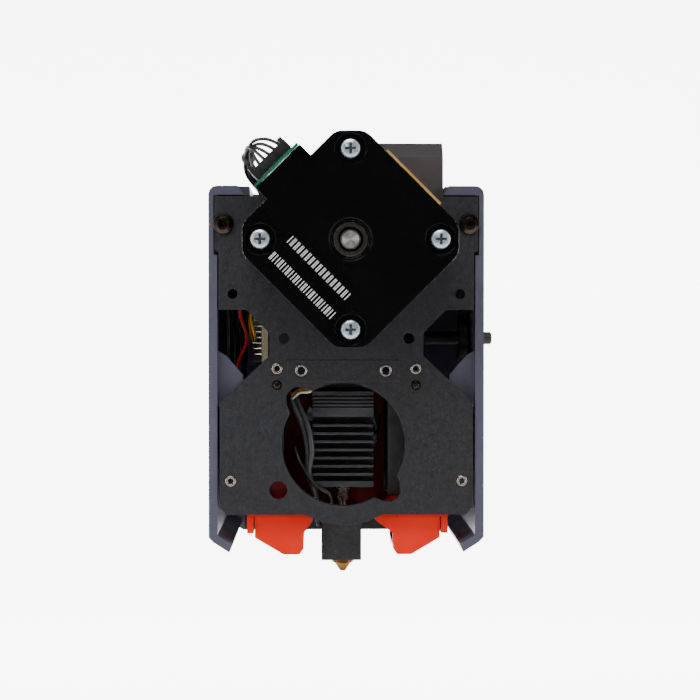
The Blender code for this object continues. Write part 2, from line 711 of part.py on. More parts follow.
def build_release_button():
    start = ARM_FACE_X + GAP
    profile = [
        (0, start), (BUTTON_RADIUS, start), (BUTTON_RADIUS, FLANGE_X[0]), (FLANGE_RADIUS, FLANGE_X[0]),
        (FLANGE_RADIUS, FLANGE_X[1]), (BUTTON_RADIUS, FLANGE_X[1]), (BUTTON_RADIUS, BUTTON_TIP_X - 0.4),
        (BUTTON_RADIUS - 0.4, BUTTON_TIP_X), (0, BUTTON_TIP_X),
    ]
    button = turned(profile, BUTTON_Y, BUTTON_Z, "X", sides=20)
    finish("release_button", button, material("button_plastic", (0.045, 0.040, 0.042), 0.5),
           (BUTTON_TIP_X, BUTTON_Y, BUTTON_Z))


def heatsink_profile():
    """The finned bar's section, in depth and height: fine grooves, then fins, on both faces."""
    grooves = [(SINK_TOP - 1.05 - 0.95 * k, 0.4, 0.8) for k in range(4)]
    fin, pitch = 0.65, 2.13
    first = SINK_TOP - SINK_HEAD
    grooves.append((first, 1.9, FIN_DEPTH))
    grooves += [(first - 1.9 - fin - pitch * k, pitch - fin, FIN_DEPTH) for k in range(7)]
    rear = FILAMENT_Y - SINK_HALF
    down = [(rear, SINK_TOP)]
    for top, width, depth in grooves:
        down += [(rear, top), (rear + depth, top), (rear + depth, top - width), (rear, top - width)]
    down.append((rear, SINK_BOTTOM))
    up = [(2 * FILAMENT_Y - v, z) for v, z in reversed(down)]
    return down + up


def build_hot_end():
    x, y = FILAMENT_X, FILAMENT_Y
    sink = finish(
        "heatsink",
        prism([heatsink_profile()], x - SINK_HALF, x + SINK_HALF, "X"),
        material("anodised_black", (0.03, 0.03, 0.033), 0.35, 0.6),
    )
    cut(sink, rod(2.3, SINK_BOTTOM - 1, SINK_TOP + 1, x, y, "Z", sides=16))

    neck = [(1.0, -43.0), (2.0, -43.0), (2.0, -36.4), (1.35, -36.4), (1.35, -34.6), (2.0, -34.6),
            (2.0, -12.0),
            (1.0, -12.0)]
    finish("heat_break", turned(neck, x, y, "Z", sides=16), steel())

    heater = finish("heater_block", box(*BLOCK_X, *BLOCK_Y, *BLOCK_Z), aluminium())
    cut(heater, rod(2.9, BLOCK_Z[0] - 1, BLOCK_Z[1] + 1, x, y, "Z", sides=20))
    cut(heater, rod(3.0 + FIT, BLOCK_X[0] - 1, BLOCK_X[1] + 1, CARTRIDGE_Y, CARTRIDGE_Z, "X", sides=16))
    cut(heater, rod(1.0 + FIT, BLOCK_X[0] - 1, 2.0, CARTRIDGE_Y, THERMISTOR_Z, "X", sides=10))

    grow = SOCK_WALL + GAP
    sock = finish(
        "silicone_sock",
        box(BLOCK_X[0] - grow, BLOCK_X[1] + grow, BLOCK_Y[0] - grow, BLOCK_Y[1] + grow,
            BLOCK_Z[0] - grow, -38.0),
        black_rubber(),
    )
    cut(sock, box(BLOCK_X[0] - GAP, BLOCK_X[1] + GAP, BLOCK_Y[0] - GAP, BLOCK_Y[1] + GAP,
                  BLOCK_Z[0] - GAP, -37.0))
    cut(sock, rod(3.2, BLOCK_Z[0] - 2, BLOCK_Z[0] + 1, x, y, "Z", sides=20))
    cut(sock, rod(3.3, BLOCK_X[0] - 2, BLOCK_X[0] + 1, CARTRIDGE_Y, CARTRIDGE_Z, "X", sides=16))
    cut(sock, rod(1.3, BLOCK_X[0] - 2, BLOCK_X[0] + 1, CARTRIDGE_Y, THERMISTOR_Z, "X", sides=10))

    tip = [
        (0.3, NOZZLE_TIP), (0.7, NOZZLE_TIP), (2.2, -51.3), (2.9, -51.1), (2.9, -49.3), (2.6, -49.3),
        (2.6, -43.4), (1.0, -43.4), (1.0, -52.0), (0.3, -52.7),
    ]
    nozzle = finish("nozzle", turned(tip, x, y, "Z", sides=18), brass())
    join(nozzle, prism([circle(x, y, 3.05, 6), circle(x, y, 1.6, 12)], -50.9, -49.5, "Z"))
    cartridge = rod(3.0, BLOCK_X[0] - 0.7, BLOCK_X[1] - 0.2, CARTRIDGE_Y, CARTRIDGE_Z, "X", sides=16)
    finish("heater_cartridge", cartridge, steel())
    probe = rod(1.0, BLOCK_X[0] - 0.7, 1.7, CARTRIDGE_Y, THERMISTOR_Z, "X", sides=10)
    finish("thermistor", probe, steel())


def build_hot_end_fan():
    half = FAN_SIZE / 2
    square = rectangle(FAN_X - half, FAN_X + half, FAN_Z - half, FAN_Z + half)
    screw_holes = [circle(FAN_X + a * 10.0, FAN_Z + b * 10.0, 1.4, 10) for a in (-1, 1) for b in (-1, 1)]
    frame = finish(
        "hotend_fan_frame",
        prism([square, circle(FAN_X, FAN_Z, 11.6, 32), *screw_holes], *FAN_Y),
        black_plastic(),
    )
    spider = bmesh.new()
    prism([vane_outline(FAN_X, FAN_Z, 5.0, 12.0, 3, 1.4)], FAN_Y[1] - 1.2, FAN_Y[1], into=spider)
    join(frame, spider)
    join(frame, rod(1.0, FAN_Y[0] + 3.0, FAN_Y[1] - 0.6, FAN_X, FAN_Z, sides=10))
    low, high = FAN_Y[0] + 0.6, FAN_Y[1] - 1.8
    blades = prism([vane_outline(FAN_X, FAN_Z, 4.8, 11.0, 7, 0.9)], low, high)
    wheel = twist(blades, FAN_X, FAN_Z, low, high, 0.5)
    impeller = finish("hotend_fan_impeller", wheel, black_plastic(), (FAN_X, 0, FAN_Z))
    cut(impeller, rod(1.4, FAN_Y[0] + 2.4, FAN_Y[1], FAN_X, FAN_Z, sides=10))


def build_blowers():
    half = BLOWER_SIZE / 2
    wall = 1.1
    for side, left in zip(("left", "right"), BLOWER_X):
        right = left + BLOWER_DEPTH
        outer = rectangle(BLOWER_Y - half, BLOWER_Y + half, BLOWER_Z - half, BLOWER_Z + half)
        housing = finish(f"blower_housing_{side}", prism([outer], left, right, "X"), black_plastic())
        cut(housing, rod(13.2, left + wall, right - wall, BLOWER_Y, BLOWER_Z, "X", sides=28))
        cut(housing, box(left + wall, right - wall, BLOWER_Y - 13.0, BLOWER_Y - 1.0,
                         BLOWER_Z - half - 1, BLOWER_Z - 2.0))
        inlet = (left - 1, left + wall + 1) if side == "left" else (right - wall - 1, right + 1)
        cut(housing, rod(8.5, *inlet, BLOWER_Y, BLOWER_Z, "X", sides=24))
        post = (left + 4.0, right - wall / 2) if side == "left" else (left + wall / 2, right - 4.0)
        join(housing, rod(1.2, *post, BLOWER_Y, BLOWER_Z, "X", sides=10))
        wheel = prism([vane_outline(BLOWER_Y, BLOWER_Z, 6.6, 11.8, 18, 0.8)], left + 1.9, right - 1.9, "X")
        impeller = finish(f"blower_impeller_{side}", wheel, black_plastic(), (0, BLOWER_Y, BLOWER_Z))
        bore = (left + 3.4, right) if side == "left" else (left, right - 3.4)
        cut(impeller, rod(1.6, *bore, BLOWER_Y, BLOWER_Z, "X", sides=10))


def build_ducts():
    wall = 1.1
    top = BLOWER_Z - BLOWER_SIZE / 2 - GAP
    for side, (inner, outer) in DUCT_SIDES.items():
        sign = 1 if outer > inner else -1
        low = -47.8
        flare = inner - sign * DUCT_FLARE[side]
        shell = [(outer, top), (outer, -43.4), (outer - sign * 7.4, low), (inner + sign * 1.2, low),
                 (inner + sign * 0.2, -46.4), (inner, -42.2), (flare, -38.9), (flare, -37.6), (inner, top)]
        duct = finish(f"air_duct_{side}", prism([shell], *DUCT_Y), duct_plastic())
        join(duct, box(*sorted((FILAMENT_X + sign * 14.6, outer + sign * 2.0)), 3.3, 4.9, -38.0, -9.0))
        join(duct, box(*sorted((outer + sign * 0.3, outer + sign * 2.0)), 3.3, 8.0, -42.2, -37.0))
        cut(duct, rod(OPENING_RADIUS + 1.0, 3.0, 5.2, FILAMENT_X, OPENING_Z, sides=32))
        edge = BLOWER_X[0] + BLOWER_DEPTH + 0.6 if side == "left" else BLOWER_X[1] - 0.4
        middle = FILAMENT_X + sign * GAP
        bottom = BLOCK_Z[1] + 0.4
        join(duct, box(*sorted((middle, edge)), *SHROUD_Y, bottom, -6.0))
        join(duct, box(*sorted((edge - sign * 2.0, inner + sign * 2.0)), *SHROUD_Y, bottom - 1.3, top - 0.3))
        hole = (SHROUD_Y[0] - 2.0, SHROUD_Y[1] + 2.0, FILAMENT_X, SHROUD_HOLE_Z)
        cut(duct, rod(SHROUD_HOLE_RADIUS, *hole, sides=28))
        air = [(outer - sign * wall, top + 0.05), (outer - sign * wall, -42.8),
               (outer - sign * 7.7, low + 1.2), (inner + sign * 3.7, low + 1.2), (flare - sign, -43.2), (flare - sign, -41.2),
               (inner + sign * 1.5, -41.2), (inner + sign * 1.5, top + 0.05)]
        cut(duct, prism([air], DUCT_Y[0] + wall, DUCT_Y[1] - wall))


def build_cover():
    half, inner = COVER_HALF, COVER_HALF - COVER_WALL
    round_top = [(half - 2.2 * (1 - math.cos(a)), COVER_TOP - 2.2 * (1 - math.sin(a)))
                 for a in (0, math.pi / 6, math.pi / 3, math.pi / 2)]
    right = [(29.0, -47.5), (34.2, -44.2), (half, -42.9)] + round_top
    outline = right + [(-x, z) for x, z in reversed(right)]
    cover = finish("cover_shell", prism([outline], COVER_REAR, COVER_FRONT), cover_paint())
    ceiling = COVER_TOP - COVER_TOP_WALL
    inside = [(30.6, -48.0), (30.1, -46.8), (29.2, -44.7), (32.6, -42.7), (inner, -42.2), (inner, ceiling)]
    cut(cover, prism([inside + [(-x, z) for x, z in reversed(inside)]], -1.0, COVER_FRONT - 2.0))
    for sign in (-1, 1):
        x, z = sign * COVER_SCREW[0], COVER_SCREW[1]
        boss = [circle(x, z, 3.3, 16), circle(x, z, 1.3 + FIT, 12)]
        join(cover, prism(boss, PLATE_FRONT + GAP, 11.0))
        reach = sorted((sign * (COVER_SCREW[0] + 2.0), sign * (inner + 0.6)))
        join(cover, box(*reach, PLATE_FRONT + 2 * GAP, 10.7, z - 1.2, z + 1.2))
        web = [(inner + 0.6, 5.4), (31.0, 3.8), (26.6, -1.2), (26.6, -9.4), (inner + 0.6, -9.4)]
        gusset = [(sign * x, z) for x, z in web]
        join(cover, prism([gusset], PLATE_FRONT + GAP, 5.0))
    seat = PLATE_HALF_TOP + GAP
    cut(cover, box(-seat, seat, -1.0, PLATE_FRONT + GAP - 0.05, 29.6, PLATE_TOP + GAP))
    cut(cover, prism([[(-28.2, 48.0), (-24.9, 43.0), (24.0, 43.0), (26.6, 48.0)]], -1.0, 3.2))
    cut(cover, box(-24.9, BOX_RIGHT + 0.4, 3.0, BODY_FRONT + 2.5, 43.0, 48.0))
    cut(cover, rod(BUTTON_RADIUS + 0.4, inner - 1, half + 1, BUTTON_Y, BUTTON_Z, "X", sides=16))
    vents = bmesh.new()
    for k in range(7):
        z = FAN_Z + 3.6 * (k - 3)
        reach = math.sqrt(14.0 ** 2 - (z - FAN_Z) ** 2)
        louvre = [(COVER_FRONT - 3.0, z - 4.2), (COVER_FRONT + 1.0, z + 0.2),
                  (COVER_FRONT + 1.0, z + 2.0), (COVER_FRONT - 3.0, z - 2.4)]
        prism([louvre], FAN_X - reach, FAN_X + reach, "X", into=vents)
    cut(cover, vents)


def strip_outline(route, thickness):
    """A bent flat strip seen edge on: the route's two sides, joined at the ends."""
    left, right = [], []
    for i, (u, v) in enumerate(route):
        before = route[max(i - 1, 0)]
        after = route[min(i + 1, len(route) - 1)]
        along = Vector((after[0] - before[0], after[1] - before[1])).normalized()
        left.append((u - along.y * thickness / 2, v + along.x * thickness / 2))
        right.append((u + along.y * thickness / 2, v - along.x * thickness / 2))
    return left + right[::-1]


def build_electronics():
    board = box(-22.0, -20.4, 8.0, 46.0, 2.0, 43.0)
    finish("toolhead_board", board, material("board_edge", (0.42, 0.36, 0.25), 0.6))
    bend = [(-31.0, -30.0), (-31.2, -8.0), (-30.6, 6.0), (-30.8, 18.0), (-29.0, 26.0),
            (-25.8, 29.5), (-22.6, 30.5)]
    finish("ribbon_cable", prism([strip_outline(bend, 0.9)], 7.5, 15.0), black_rubber())
    route = [(-23.4, 6.0, 40.0), (-25.6, 5.8, 32.0), (-26.6, 5.8, 25.0), (-27.8, 7.4, 15.5),
             (-25.9, 8.4, 8.0), (-28.5, 8.6, 0.5), (-29.1, 10.0, -12.0), (-29.2, 12.0, -30.0)]
    tube("supply_wire", smooth_path(route, 2.2), 0.45, material("red_wire", (0.55, 0.01, 0.01), 0.4))


def main():
    clear_scene()
    build_motor()
    build_motor_screws()
    build_mount_screws()
    build_motor_connector()
    build_back_plate()
    build_extruder()
    build_gears()
    build_tension_arm()
    build_release_button()
    build_hot_end()
    build_hot_end_fan()
    build_blowers()
    build_ducts()
    build_cover()
    build_electronics()


main()
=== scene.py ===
"""The looks of the direct-drive print head: camera, studio, materials and fine detail.

Lengths are in millimetres in the frame of the CAD model and become metres when a mesh is made.
"""

import math

import bmesh
import bpy
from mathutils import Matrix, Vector


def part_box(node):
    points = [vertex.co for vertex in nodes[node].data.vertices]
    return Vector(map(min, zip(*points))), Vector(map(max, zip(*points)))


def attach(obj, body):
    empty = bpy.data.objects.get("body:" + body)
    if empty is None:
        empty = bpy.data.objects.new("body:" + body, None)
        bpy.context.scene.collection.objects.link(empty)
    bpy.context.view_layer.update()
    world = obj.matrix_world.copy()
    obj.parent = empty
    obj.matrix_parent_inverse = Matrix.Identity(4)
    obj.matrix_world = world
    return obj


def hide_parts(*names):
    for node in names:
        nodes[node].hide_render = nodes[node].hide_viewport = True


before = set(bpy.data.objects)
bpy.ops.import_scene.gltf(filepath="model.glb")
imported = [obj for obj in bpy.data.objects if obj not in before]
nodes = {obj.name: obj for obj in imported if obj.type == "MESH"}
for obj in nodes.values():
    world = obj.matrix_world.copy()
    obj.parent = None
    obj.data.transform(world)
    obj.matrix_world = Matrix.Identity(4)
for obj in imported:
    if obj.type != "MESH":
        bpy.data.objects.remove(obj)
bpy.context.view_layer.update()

MM = 0.001
ROOT2 = math.sqrt(2.0)
SMOOTH_BELOW = math.radians(32)
BEVEL_ABOVE = math.radians(35)
STUDIO_DROP = 150.0       # from the nozzle's tip down to the floor
PLUG_WIRES = 6
PLUG_PITCH = 1.75
EVEN_STEP = 0.7           # spacing of the points along an eased wire
EASING_ROUNDS = 32        # keeps the plug's wires from bending tighter than two diameters
COVER_WALL = 2.0
PIN_X = 17.8              # the waist's lower holes, either side of the middle
RING_X = (-6.4, 4.2)      # the witness rings' middles


def span(node):
    """A node's lowest and highest corners in millimetres."""
    low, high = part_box(node)
    return low / MM, high / MM


def centre(node):
    low, high = span(node)
    return (low + high) / 2


MOTOR = centre("motor_rear_bearing")
MOTOR_FACE = span("motor_rear_cap")[0].y
PLATE_LOW = span("back_plate")[0]
BOARD_LOW = span("toolhead_board")[0]
COVER_LOW, COVER_HIGH = span("cover_shell")


# ---------------------------------------------------------------- camera and studio

def build_camera():
    """A long lens on the carriage side, a little above the middle and left of it."""
    data = bpy.data.cameras.new("camera")
    data.sensor_width = 36.0
    data.lens = 80.3
    camera = bpy.data.objects.new("camera", data)
    camera.location = Vector((-7.28, -400.0, 11.15)) * MM
    pitch, yaw = math.radians(0.84), math.radians(1.17)
    camera.rotation_euler = (math.pi / 2 - pitch, 0.0, -yaw)
    bpy.context.scene.collection.objects.link(camera)
    bpy.context.scene.camera = camera


def build_floor():
    """A pale floor well below the object, curving up behind it into a backdrop that glows white."""
    depth, rise, radius = 900.0, 700.0, 250.0
    level = span("nozzle")[0].z - STUDIO_DROP
    profile = [(-depth, level)]
    steps = 12
    for k in range(steps + 1):
        angle = math.pi / 2 * k / steps
        profile.append((depth - radius + radius * math.sin(angle), level + radius * (1 - math.cos(angle))))
    profile.append((depth, level + rise))
    half = 1100.0
    verts = [(x * MM, y * MM, z * MM) for y, z in profile for x in (-half, half)]
    faces = [(2 * i, 2 * i + 1, 2 * i + 3, 2 * i + 2) for i in range(len(profile) - 1)]
    mesh = bpy.data.meshes.new("studio_floor")
    mesh.from_pydata(verts, [], faces)
    mesh.shade_smooth()
    floor = bpy.data.objects.new("studio_floor", mesh)
    bpy.context.scene.collection.objects.link(floor)
    look = Look("studio_floor", (0.92, 0.92, 0.92), 0.8)
    look.mottle(2.0, (0.90, 0.90, 0.90), 0.3)
    look.glow("Y", start=0.30, end=0.48, low=0.15, high=6.0)
    mesh.materials.append(look.material)


def area_light(name, place, size, power):
    data = bpy.data.lights.new(name, "AREA")
    data.shape = "RECTANGLE"
    data.size = size[0] * MM
    data.size_y = size[1] * MM
    data.energy = power
    lamp = bpy.data.objects.new(name, data)
    lamp.location = Vector(place) * MM
    lamp.rotation_euler = (-Vector(place)).to_track_quat("-Z", "Y").to_euler()
    bpy.context.scene.collection.objects.link(lamp)


def build_lights():
    """Soft boxes round the camera's axis, wide enough off it that flat gloss stays dark."""
    area_light("key_top", (-120, -420, 560), (500, 300), 3.0)
    area_light("side_left", (-620, -360, 60), (260, 560), 2.6)
    area_light("side_right", (620, -360, 60), (260, 560), 2.2)
    area_light("fill_low", (40, -420, -420), (500, 260), 2.4)
    area_light("back_top", (0, 500, 520), (700, 300), 3.0)
    world = bpy.data.worlds.new("studio")
    world.use_nodes = True
    tree = world.node_tree
    backdrop = tree.nodes["Background"]
    backdrop.inputs["Color"].default_value = (1.0, 1.0, 1.0, 1.0)
    backdrop.inputs["Strength"].default_value = 1.0
    dim = tree.nodes.new("ShaderNodeBackground")
    dim.inputs["Strength"].default_value = 0.03
    path = tree.nodes.new("ShaderNodeLightPath")
    mixed = tree.nodes.new("ShaderNodeMixShader")
    tree.links.new(path.outputs["Is Camera Ray"], mixed.inputs["Fac"])
    tree.links.new(dim.outputs["Background"], mixed.inputs[1])
    tree.links.new(backdrop.outputs["Background"], mixed.inputs[2])
    tree.links.new(mixed.outputs["Shader"], tree.nodes["World Output"].inputs["Surface"])
    bpy.context.scene.world = world


# ---------------------------------------------------------------- materials

class Look:
    """A Principled material whose colour, roughness and relief vary over the surface."""

    def __init__(self, name, colour, roughness, metallic=0.0, **fixed):
        self.material = bpy.data.materials.new(name)
        self.material.use_nodes = True
        self.tree = self.material.node_tree
        self.shader = self.tree.nodes["Principled BSDF"]
        self.shader.inputs["Base Color"].default_value = (*colour, 1.0)
        self.shader.inputs["Roughness"].default_value = roughness
        self.shader.inputs["Metallic"].default_value = metallic
        for socket, value in fixed.items():
            self.shader.inputs[socket.replace("_", " ")].default_value = value
        self.place = self.tree.nodes.new("ShaderNodeTexCoord").outputs["Object"]
        self.bump = None

    def node(self, kind, inputs, **settings):
        made = self.tree.nodes.new(kind)
        for key, value in settings.items():
            setattr(made, key, value)
        for key, value in inputs.items():
            if isinstance(value, bpy.types.NodeSocket):
                self.tree.links.new(value, made.inputs[key])
            else:
                made.inputs[key].default_value = value
        return made

    def stretched(self, stretch):
        if stretch is None:
            return self.place
        scaled = self.node("ShaderNodeVectorMath", {0: self.place, 1: stretch}, operation="MULTIPLY")
        return scaled.outputs["Vector"]

    def noise(self, scale, detail=3.0, stretch=None):
        inputs = {"Vector": self.stretched(stretch), "Scale": scale, "Detail": detail}
        return self.node("ShaderNodeTexNoise", inputs).outputs["Fac"]

    def cells(self, scale):
        made = self.node("ShaderNodeTexVoronoi", {"Vector": self.place, "Scale": scale})
        return made.outputs["Distance"]

    def rings(self, middle, axis, scale):
        moved = self.node("ShaderNodeVectorMath", {0: self.place, 1: middle}, operation="SUBTRACT")
        made = self.node(
            "ShaderNodeTexWave",
            {"Vector": moved.outputs["Vector"], "Scale": scale, "Distortion": 0.4, "Detail": 1.0},
            wave_type="RINGS",
            rings_direction=axis,
        )
        return made.outputs["Fac"]

    def bands(self, axis, scale, distortion=0.0):
        made = self.node(
            "ShaderNodeTexWave",
            {"Vector": self.place, "Scale": scale, "Distortion": distortion},
            wave_type="BANDS",
            bands_direction=axis,
        )
        return made.outputs["Fac"]

    def ranged(self, source, low, high, to_low=0.0, to_high=1.0):
        made = self.node(
            "ShaderNodeMapRange",
            {"Value": source, "From Min": low, "From Max": high, "To Min": to_low, "To Max": to_high},
        )
        return made.outputs["Result"]

    def tint(self, factor, colour):
        """Mix a second colour in where the factor is high."""
        base = self.shader.inputs["Base Color"]
        first = base.links[0].from_socket if base.is_linked else tuple(base.default_value)
        mixed = self.node("ShaderNodeMix", {0: factor, 6: first, 7: (*colour, 1.0)}, data_type="RGBA")
        self.tree.links.new(mixed.outputs[2], base)

    def mottle(self, scale, colour, amount=1.0, detail=4.0, stretch=None):
        self.tint(self.ranged(self.noise(scale, detail, stretch), 0.35, 0.65, 0.0, amount), colour)

    def flecks(self, scale, size, colour):
        self.tint(self.ranged(self.cells(scale), 0.0, size, 1.0, 0.0), colour)

    def rough(self, scale, low, high, stretch=None):
        varied = self.ranged(self.noise(scale, 3.0, stretch), 0.3, 0.7, low, high)
        self.tree.links.new(varied, self.shader.inputs["Roughness"])

    def deepen(self, axis, start, end, colour):
        """Run into another colour from one place to another along an axis, in metres."""
        place = self.node("ShaderNodeSeparateXYZ", {0: self.place}).outputs[axis]
        self.tint(self.ranged(place, start, end), colour)

    def glow(self, axis, start, end, low, high):
        """White light from the surface itself, stronger from one place to another along an axis."""
        place = self.node("ShaderNodeSeparateXYZ", {0: self.place}).outputs[axis]
        strength = self.ranged(place, start, end, low, high)
        self.tree.links.new(strength, self.shader.inputs["Emission Strength"])
        self.shader.inputs["Emission Color"].default_value = (1.0, 1.0, 1.0, 1.0)

    def relief(self, height, depth, strength=1.0):
        """Raise the surface by a height field; depth is in millimetres."""
        inputs = {"Height": height, "Distance": depth * MM, "Strength": strength}
        if self.bump:
            inputs["Normal"] = self.bump
        self.bump = self.node("ShaderNodeBump", inputs).outputs["Normal"]
        self.tree.links.new(self.bump, self.shader.inputs["Normal"])


def powder_coat():
    """Near-black textured powder coat, with fine pale flecks."""
    look = Look("powder_coat", (0.0115, 0.0115, 0.0145), 0.5)
    look.mottle(900.0, (0.021, 0.021, 0.026), 0.8)
    look.flecks(2300.0, 0.30, (0.075, 0.075, 0.086))
    look.rough(700.0, 0.42, 0.62)
    look.relief(look.noise(1500.0, 4.0), 0.05, 0.7)
    look.relief(look.noise(420.0, 2.0), 0.04, 0.4)
    return look.material


def gloss_enamel():
    """Deep black stoved enamel with a faint orange peel."""
    look = Look("gloss_enamel", (0.0016, 0.0016, 0.0018), 0.12, Coat_Weight=0.5, Coat_Roughness=0.12)
    look.mottle(60.0, (0.0030, 0.0030, 0.0034), 0.6)
    look.rough(140.0, 0.1, 0.18)
    look.relief(look.noise(45.0, 1.0), 0.01, 0.2)
    return look.material


def laminated_steel():
    """Stacked stator sheets, seen on their edges."""
    look = Look("laminated_steel", (0.035, 0.035, 0.038), 0.45, 0.8)
    look.mottle(500.0, (0.07, 0.065, 0.06), 0.7, stretch=(1.0, 8.0, 1.0))
    look.relief(look.bands("Y", 320.0), 0.12, 0.8)
    look.rough(600.0, 0.35, 0.6)
    return look.material


def turned_steel(name, node, axis="Y", colour=(0.50, 0.48, 0.47), roughness=0.24, metallic=1.0):
    """Steel turned on a lathe: fine rings about the node's own axis."""
    look = Look(name, colour, roughness, metallic)
    look.mottle(160.0, tuple(0.8 * c for c in colour), 0.5)
    look.relief(look.rings(centre(node) * MM, axis, 1500.0), 0.01, 0.5)
    look.rough(900.0, roughness * 0.8, roughness * 1.6)
    return look.material


def shaft_steel():
    """The shaft's faced end: brushed in circles, so that its shine lies in two wedges."""
    look = Look("shaft_steel", (0.74, 0.70, 0.68), 0.36, 1.0, Anisotropic=0.85)
    brushed = look.node("ShaderNodeTangent", {}, direction_type="RADIAL", axis="Y")
    look.tree.links.new(brushed.outputs["Tangent"], look.shader.inputs["Tangent"])
    look.mottle(240.0, (0.56, 0.53, 0.51), 0.5)
    look.relief(look.rings(centre("motor_shaft") * MM, "Y", 1100.0), 0.01, 0.5)
    return look.material


def zinc_plate():
    """Bright zinc with a cool passivated tint, with painted shade inside the screws' recesses."""
    look = Look("zinc_plate", (0.84, 0.88, 0.92), 0.3, 0.72)
    look.mottle(500.0, (0.62, 0.74, 0.86), 0.5)
    head = span("motor_screw_top")[0].y
    # Painted shade: the recesses' floors run darker and bluer with depth.
    look.deepen("Y", start=(head + 0.25) * MM, end=(head + 0.6) * MM, colour=(0.20, 0.28, 0.36))
    look.rough(900.0, 0.2, 0.36)
    look.relief(look.noise(900.0, 2.0), 0.006, 0.4)
    return look.material


def slate_plastic():
    """The cover's slate-blue moulded plastic, with a fine spark-eroded grain."""
    look = Look("slate_plastic", (0.094, 0.091, 0.132), 0.42)
    look.mottle(25.0, (0.084, 0.081, 0.120), 0.7)
    look.rough(300.0, 0.36, 0.5)
    look.relief(look.noise(2600.0, 2.0), 0.014, 0.5)
    return look.material


def duct_plastic():
    """Orange-red moulded plastic, slightly translucent, with painted shade on its upper part behind the
    plate and deep inside the head.
    """
    look = Look("duct_plastic", (0.90, 0.022, 0.004), 0.44, Subsurface_Weight=0.04, Specular_IOR_Level=0.3)
    look.shader.inputs["Subsurface Radius"].default_value = (0.0012, 0.0004, 0.0002)
    look.mottle(45.0, (0.80, 0.016, 0.003), 0.8)
    # Painted shade: darker red above the plate's lower edge, where the plate shades the ducts.
    look.deepen("Z", start=-0.0385, end=-0.036, colour=(0.30, 0.005, 0.002))
    # Painted shade: nearly black red deep inside the head, behind the heatsink.
    look.deepen("Y", start=0.012, end=0.021, colour=(0.16, 0.002, 0.001))
    look.rough(260.0, 0.30, 0.48)
    look.relief(look.noise(1900.0, 2.0), 0.01, 0.5)
    return look.material


def case_plastic():
    """Warm grey glass-filled plastic."""
    look = Look("case_plastic", (0.060, 0.053, 0.055), 0.46)
    look.mottle(160.0, (0.074, 0.066, 0.069), 0.7)
    look.rough(500.0, 0.38, 0.56)
    look.relief(look.noise(1700.0, 3.0), 0.02, 0.6)
    return look.material


def black_plastic():
    look = Look("black_plastic", (0.012, 0.012, 0.013), 0.42)
    look.mottle(220.0, (0.021, 0.021, 0.023), 0.8)
    look.rough(420.0, 0.32, 0.55)
    look.relief(look.noise(2100.0, 2.0), 0.015, 0.6)
    return look.material


def silicone():
    """Dusty moulded silicone."""
    look = Look("silicone", (0.010, 0.010, 0.011), 0.62)
    look.mottle(260.0, (0.020, 0.020, 0.022), 0.9)
    look.flecks(1900.0, 0.26, (0.11, 0.11, 0.12))
    look.rough(300.0, 0.52, 0.75)
    look.relief(look.noise(900.0, 3.0), 0.04, 0.6)
    return look.material


def wire_skin(name, colour):
    look = Look(name, colour, 0.34)
    look.mottle(400.0, tuple(0.7 * c for c in colour), 0.6)
    look.rough(500.0, 0.28, 0.45)
    look.relief(look.noise(1500.0, 2.0), 0.01, 0.5)
    return look.material


def anodised_fins():
    """Black anodised aluminium, streaked along the fins."""
    look = Look("anodised_fins", (0.062, 0.061, 0.066), 0.36, 0.75)
    look.mottle(240.0, (0.12, 0.12, 0.13), 0.7, stretch=(0.25, 1.0, 1.0))
    look.rough(700.0, 0.32, 0.5, stretch=(0.2, 1.0, 1.0))
    look.relief(look.noise(1300.0, 2.0, (0.12, 1.0, 1.0)), 0.012, 0.5)
    return look.material


def milled_aluminium():
    look = Look("milled_aluminium", (0.55, 0.56, 0.58), 0.3, 1.0)
    look.mottle(150.0, (0.42, 0.41, 0.40), 0.6)
    look.relief(look.bands("Z", 900.0, 1.5), 0.008, 0.5)
    look.rough(500.0, 0.24, 0.44)
    return look.material


def turned_brass():
    look = Look("turned_brass", (0.34, 0.17, 0.045), 0.24, 1.0)
    look.mottle(300.0, (0.14, 0.06, 0.015), 0.9)
    look.relief(look.rings(centre("nozzle") * MM, "Z", 1200.0), 0.01, 0.4)
    look.rough(600.0, 0.16, 0.36)
    return look.material


def solder_mask():
    """Green circuit board: copper tracks stand proud under the lacquer."""
    look = Look("solder_mask", (0.004, 0.17, 0.085), 0.28)
    look.mottle(120.0, (0.003, 0.12, 0.06), 0.7)
    look.relief(look.bands("DIAGONAL", 330.0, 3.0), 0.03, 0.5)
    look.rough(400.0, 0.2, 0.4)
    return look.material


def laminate():
    """Bare glass-fibre laminate."""
    look = Look("laminate", (0.40, 0.34, 0.22), 0.5)
    look.mottle(700.0, (0.52, 0.45, 0.30), 0.8, stretch=(6.0, 1.0, 1.0))
    look.relief(look.bands("X", 900.0), 0.02, 0.5)
    look.rough(600.0, 0.4, 0.65)
    return look.material


def amber_film():
    look = Look("amber_film", (0.66, 0.38, 0.09), 0.25, Coat_Weight=0.4)
    look.mottle(80.0, (0.78, 0.50, 0.16), 0.7)
    look.relief(look.noise(120.0, 2.0), 0.03, 0.5)
    return look.material


def bronze_black():
    """Black-oxide screw heads with a bronze sheen."""
    look = Look("bronze_black", (0.085, 0.062, 0.048), 0.17, 0.95)
    look.mottle(500.0, (0.035, 0.024, 0.018), 0.7)
    look.rough(800.0, 0.18, 0.38)
    look.relief(look.noise(1500.0, 2.0), 0.01, 0.5)
    return look.material


def gear_nylon():
    look = Look("gear_nylon", (0.80, 0.79, 0.74), 0.4, Subsurface_Weight=0.05)
    look.mottle(90.0, (0.72, 0.71, 0.66), 0.6)
    look.relief(look.noise(1500.0, 2.0), 0.01, 0.5)
    return look.material


